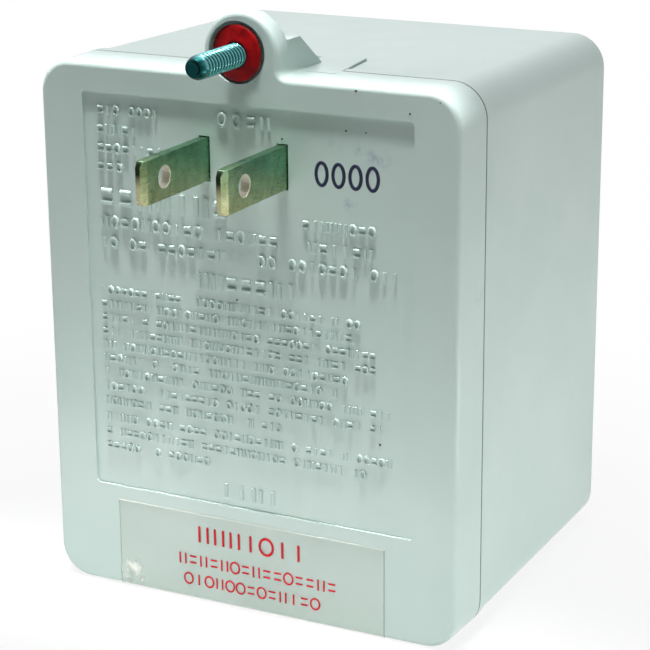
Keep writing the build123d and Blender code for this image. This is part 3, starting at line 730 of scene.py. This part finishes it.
def makeLabelFilm(spec):
    centreY, centreZ = spec["bendCentre"]
    path = [(0.0, spec["top"] + (centreZ - spec["top"]) * row / spec["rows"], 0.0) for row in range(spec["rows"])]
    for row in range(spec["bendRows"] + 1):
        path.append((0.0, centreZ, math.radians(spec["wrap"]) * row / spec["bendRows"]))
    columns, bubble, waves = spec["columns"], spec["bubble"], spec["waves"]
    creaseAcross, creaseUp = bubble["creaseTurns"]
    points, faces = [], []
    for outer in (True, False):
        for _, z, bend in path:
            for column in range(columns + 1):
                x = spec["left"] + (spec["right"] - spec["left"]) * column / columns
                lift = spec["thickness"] if outer else spec["underside"]
                across = (x - bubble["place"][0]) / bubble["reach"][0]
                ragged = bubble["raggedBy"] * math.sin(bubble["raggedTurns"] * x)
                up = (z - bubble["place"][1] - ragged) / bubble["reach"][1]
                swell = math.exp(-across ** 4 - up ** 4) if bend == 0 else 0.0
                crease = 1 - bubble["crease"] * (1 - math.sin(creaseAcross * across + creaseUp * up))
                spot = Vector((x * waves["perMillimetre"], z * waves["perMillimetre"], waves["slice"]))
                wave = waves["height"] * noise.noise(spot)
                lift += bubble["height"] * swell * crease + (wave if outer else 0.0)
                reach = spec["bendRadius"] + lift
                points.append((x, centreY - reach * math.cos(bend), z - reach * math.sin(bend)))
    rows, step = len(path), columns + 1
    shell = rows * step
    for row in range(rows - 1):
        for column in range(columns):
            first = row * step + column
            faces.append((first, first + 1, first + step + 1, first + step))
            faces.append(tuple(shell + corner for corner in (first, first + step, first + step + 1, first + 1)))
    rim = [(column, column + 1) for column in range(columns)]
    rim += [(row * step + columns, (row + 1) * step + columns) for row in range(rows - 1)]
    rim += [((rows - 1) * step + column + 1, (rows - 1) * step + column) for column in reversed(range(columns))]
    rim += [((row + 1) * step, row * step) for row in reversed(range(rows - 1))]
    faces += [(second, first, first + shell, second + shell) for first, second in rim]
    return points, faces


def labelMaterial(spec):
    made, tree, shader, place = startMaterial("labelFilm", Specular_IOR_Level=0.6)
    (x, z), veiled = spec["bubble"]["place"], spec["bubble"]["veil"]
    alpha, tones = spec["alpha"], spec["tones"]
    # the bubble itself is real; the more opaque, paler patch round it is a painted sheen
    near = mapped(tree, apart(tree, place, (x, veiled["depth"], z)), veiled["from"] * mm, veiled["to"] * mm, 1.0, 0.0)
    bubbleSheen = arith(tree, "MULTIPLY", near, ramp(tree, cloud(tree, place, 620, 3), [(0.45, 0.0), (0.55, 1.0)]))
    axes = axesOf(tree, place)
    middle, half = (spec["left"] + spec["right"]) / 2, (spec["right"] - spec["left"]) / 2
    aside = arith(tree, "ABSOLUTE", arith(tree, "SUBTRACT", axes["X"], middle * mm))
    # painted shade on the side edges and a painted highlight line along the top edge
    shadedSideEdge = arith(tree, "GREATER_THAN", aside, (half - spec["edge"]) * mm)
    litTopEdge = arith(tree, "GREATER_THAN", axes["Z"], (spec["top"] - spec["edge"]) * mm)
    veil = mapped(tree, bubbleSheen, 0.0, 1.0, alpha["plain"], alpha["bubble"])
    for edge, strength in ((shadedSideEdge, alpha["side"]), (litTopEdge, alpha["top"])):
        veil = arith(tree, "MAXIMUM", veil, arith(tree, "MULTIPLY", edge, strength))
    tree.links.new(veil, shader.inputs["Alpha"])
    tone = ramp(tree, cloud(tree, place, 120, 3), [(0.3, tones["deep"]), (0.7, tones["pale"])])
    for edge, shade in ((shadedSideEdge, tones["side"]), (litTopEdge, tones["top"])):
        tone = tint(tree, edge, tone, shade)
    tree.links.new(tone, shader.inputs["Base Color"])
    gloss = ramp(tree, cloud(tree, place, 300, 4), [(0.3, 0.08), (0.7, 0.2)])
    tree.links.new(gloss, shader.inputs["Roughness"])
    tree.links.new(relief(tree, cloud(tree, place, 150, 3), 0.35, 0.03 * mm), shader.inputs["Normal"])
    return made


film = newPiece("clear_label_film", *makeLabelFilm(labelSet), labelMaterial(labelSet), 60)
cleanMesh(film, 0.0001)
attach(film, "enclosure")
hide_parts("clear_label")


# Rows of plain raised shapes where the moulded and printed words are, made by one geometry tree
rowInputs = (
    ("Spacing", "Float", 0.81),
    ("Stroke", "Float", 0.11),
    ("Relief", "Float", 0.0015),
    ("Gap Share", "Float", 0.14),
    ("Ring Points", "Int", 8),
    ("Ring Width", "Float", 0.54),
    ("First Shape", "Int", 0),
    ("Last Shape", "Int", 3),
    ("Seed", "Int", 7),
    ("Material", "Material", None),
)
# Ends of the strokes, as shares of a mark's height: one bar, two bars side by side, two bars above each other
markStrokes = (
    (((0, 0, 0.1), (0, 0, 0.9)),),
    (((-0.22, 0, 0.1), (-0.22, 0, 0.9)), ((0.22, 0, 0.1), (0.22, 0, 0.9))),
    (((-0.26, 0, 0.28), (0.26, 0, 0.28)), ((-0.26, 0, 0.74), (0.26, 0, 0.74))),
)
ringMark = {"middle": 0.5, "halfHeight": 0.4}
strokeSides = 5
rowMargin = 0.35
shapeSeedStep = 31


def buildRowTree(name):
    tree = bpy.data.node_groups.new(name, "GeometryNodeTree")
    tree.interface.new_socket("Geometry", in_out="INPUT", socket_type="NodeSocketGeometry")
    for label, kind, value in rowInputs:
        socket = tree.interface.new_socket(label, in_out="INPUT", socket_type="NodeSocket" + kind)
        if value is not None:
            socket.default_value = value
    tree.interface.new_socket("Geometry", in_out="OUTPUT", socket_type="NodeSocketGeometry")
    given = tree.nodes.new("NodeGroupInput").outputs
    cap = addNode(tree, "GeometryNodeInputNamedAttribute", {"Name": "capHeight"}).outputs[0]
    line = addNode(tree, "GeometryNodeMeshToCurve", {"Mesh": given["Geometry"]}).outputs[0]
    step = arith(tree, "MULTIPLY", cap, given["Spacing"])
    spots = addNode(tree, "GeometryNodeResampleCurve", {"Curve": line, "Length": step}, mode="LENGTH").outputs[0]
    profile = addNode(tree, "GeometryNodeCurvePrimitiveCircle", {
        "Resolution": strokeSides, "Radius": given["Stroke"]})
    circle = addNode(tree, "GeometryNodeCurvePrimitiveCircle", {"Resolution": given["Ring Points"], "Radius": 1.0})
    halfWidth = arith(tree, "MULTIPLY", given["Ring Width"], 0.5)
    oval = addNode(tree, "ShaderNodeCombineXYZ", {"X": halfWidth, "Y": ringMark["halfHeight"], "Z": 1.0}).outputs[0]
    ring = addNode(tree, "GeometryNodeTransform", {
        "Geometry": circle.outputs[0], "Translation": (0, 0, ringMark["middle"]),
        "Rotation": (math.pi / 2, 0, 0), "Scale": oval}).outputs[0]
    shapes = [[ring]]
    for strokes in markStrokes:
        shapes.append([addNode(tree, "GeometryNodeCurvePrimitiveLine", {"Start": start, "End": end}).outputs[0]
                       for start, end in strokes])
    choice = addNode(tree, "GeometryNodeJoinGeometry")
    for curves in reversed(shapes):
        joined = addNode(tree, "GeometryNodeJoinGeometry")
        for curve in curves:
            tree.links.new(curve, joined.inputs[0])
        solid = addNode(tree, "GeometryNodeCurveToMesh", {
            "Curve": joined.outputs[0], "Profile Curve": profile.outputs[0], "Fill Caps": True}).outputs[0]
        single = addNode(tree, "GeometryNodeGeometryToInstance", {"Geometry": solid}).outputs[0]
        tree.links.new(single, choice.inputs[0])
    kept = addNode(tree, "FunctionNodeRandomValue", {
        6: arith(tree, "SUBTRACT", 1.0, given["Gap Share"]), "Seed": given["Seed"]}, data_type="BOOLEAN").outputs[3]
    shape = addNode(tree, "FunctionNodeRandomValue", {
        4: given["First Shape"], 5: given["Last Shape"], "Seed": arith(tree, "ADD", given["Seed"], shapeSeedStep)},
        data_type="INT").outputs[2]
    size = addNode(tree, "ShaderNodeCombineXYZ", {"X": cap, "Y": given["Relief"], "Z": cap}).outputs[0]
    placed = addNode(tree, "GeometryNodeInstanceOnPoints", {
        "Points": spots, "Selection": kept, "Instance": choice.outputs[0], "Pick Instance": True,
        "Instance Index": shape, "Scale": size}).outputs[0]
    real = addNode(tree, "GeometryNodeRealizeInstances", {"Geometry": placed}).outputs[0]
    smooth = addNode(tree, "GeometryNodeSetShadeSmooth", {"Geometry": real}).outputs[0]
    coated = addNode(tree, "GeometryNodeSetMaterial", {
        "Geometry": smooth, "Material": given["Material"]}).outputs[0]
    addNode(tree, "NodeGroupOutput", {"Geometry": coated})
    return tree


rowTree = buildRowTree("rowsOfMarks")


def makeRows(name, rows, deep, material, slotName, **values):
    points, edges, caps = [], [], []
    for left, right, top, bottom in rows:
        cap = (top - bottom) * mm
        margin = rowMargin * cap
        edges.append((len(points), len(points) + 1))
        points += [(left * mm + margin, deep * mm, bottom * mm), (right * mm - margin, deep * mm, bottom * mm)]
        caps += [cap, cap]
    mesh = bpy.data.meshes.new(name + "_lines")
    mesh.from_pydata(points, edges, [])
    mesh.attributes.new("capHeight", "FLOAT", "POINT").data.foreach_set("value", caps)
    guide = addObject(name + "_lines", mesh)
    marker = guide.modifiers.new("rows", "NODES")
    marker.node_group = rowTree
    values["Material"] = material
    for item in rowTree.interface.items_tree:
        if item.name in values:
            marker[item.identifier] = values[item.name]
    evaluated = guide.evaluated_get(bpy.context.evaluated_depsgraph_get())
    made = bpy.data.meshes.new_from_object(evaluated)
    made.name = name
    bpy.data.objects.remove(guide)
    piece = addObject(name, made)
    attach(piece, "enclosure")
    return piece


markSet = {
    "panelFloor": 0.4,
    "heading": ((-24.4, -13.8, 6.55, 4.9), (-24.5, -11.9, 3.7, 1.95), (-24.6, -13.3, 0.86, -0.9),
                (-24.6, -18.7, -2.0, -3.6), (-24.5, 5.5, -10.1, -12.2), (-24.6, 5.1, -13.3, -15.3),
                (-4.1, 4.6, 7.15, 4.75), (9.4, 21.0, -7.1, -8.9), (10.3, 20.5, -10.3, -12.3),
                (7.05, 26.3, -13.3, -15.2)),
    "large": ((-24.4, -2.6, -5.5, -9.2), (-8.1, 8.4, -16.9, -19.8), (-4.85, 5.0, -49.3, -52.0)),
    "lineTops": ((-21.06, 18.5), (-23.27, 17.2), (-25.4, 21.0), (-27.55, 21.0), (-29.7, 18.9), (-31.8, 14.8),
                 (-34.0, 23.5), (-36.3, 22.1), (-38.6, 5.7), (-41.26, 24.8), (-43.55, 19.4), (-45.85, -6.7)),
    "lineHeight": 1.45,
    "lineLeft": -24.8,
    "stamp": ((11.15, 21.9, 1.6, -2.4),),
    "labelFace": -0.13,
    "label": ((-9.0, 9.55, -56.85, -60.1), (-14.2, 14.75, -61.77, -63.98), (-11.4, 11.9, -65.0, -67.15)),
}
paragraph = [(markSet["lineLeft"], right, top, top - markSet["lineHeight"]) for top, right in markSet["lineTops"]]
marks = [
    makeRows("panel_line_marks", paragraph, markSet["panelFloor"], casePaint, "case_plastic",
             **{"Seed": 11, "Stroke": 0.125, "Relief": 0.0027}),
    makeRows("panel_heading_marks", markSet["heading"], markSet["panelFloor"], casePaint, "case_plastic",
             **{"Seed": 23, "Gap Share": 0.1, "Stroke": 0.12, "Relief": 0.0032, "Ring Points": 10}),
    makeRows("panel_large_marks", markSet["large"], markSet["panelFloor"], casePaint, "case_plastic",
             **{"Seed": 5, "Gap Share": 0.0, "Stroke": 0.115, "Relief": 0.0044, "Ring Points": 16}),
    makeRows("date_stamp_marks", markSet["stamp"], markSet["panelFloor"], stampInk, "case_plastic",
             **{"Seed": 3, "Gap Share": 0.0, "Stroke": 0.072, "Relief": 0.0005, "Ring Points": 28,
                "Ring Width": 0.42, "Spacing": 0.62, "First Shape": 0, "Last Shape": 0}),
    makeRows("label_print_marks", markSet["label"], markSet["labelFace"], printRed, "label_film",
             **{"Seed": 9, "Gap Share": 0.06, "Stroke": 0.065, "Relief": 0.0005, "Ring Points": 20,
                "Ring Width": 0.68, "Spacing": 0.82}),
]
print("rows of marks:", [len(piece.data.polygons) for piece in marks])


# Specks of dirt, as the photograph shows them
speckSet = {
    "spots": ((18.16, 0.0, 11.9, 0.20), (26.32, 0.0, 9.41, 0.16), (16.4, 0.4, 6.09, 0.17), (19.48, 0.4, 6.09, 0.13),
              (6.33, 0.4, 4.03, 0.16), (21.63, 0.4, -39.28, 0.20), (-1.46, 0.4, -20.57, 0.16),
              (30.8, 0.0, 11.3, 0.10)),
    "flatness": 0.35,
    "squat": 0.85,
    "ragged": 0.25,
    "raggedScales": (9000, 7000),
}


def makeSpecks(spec):
    shape = bmesh.new()
    for x, y, z, radius in spec["spots"]:
        move = Matrix.Translation((x * mm, y * mm, z * mm)) @ Matrix.Diagonal((1, spec["flatness"], spec["squat"], 1))
        made = bmesh.ops.create_icosphere(shape, subdivisions=2, radius=radius * mm, matrix=move)
        for corner in made["verts"]:
            corner.co.x += spec["ragged"] * radius * mm * noise.noise(corner.co * spec["raggedScales"][0])
            corner.co.z += spec["ragged"] * radius * mm * noise.noise(corner.co * spec["raggedScales"][1])
    mesh = bpy.data.meshes.new("dirt_specks")
    shape.to_mesh(mesh)
    shape.free()
    mesh.materials.append(speckDirt)
    mesh.shade_smooth()
    piece = addObject("dirt_specks", mesh)
    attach(piece, "enclosure")
    return piece


makeSpecks(speckSet)
print("specks placed")
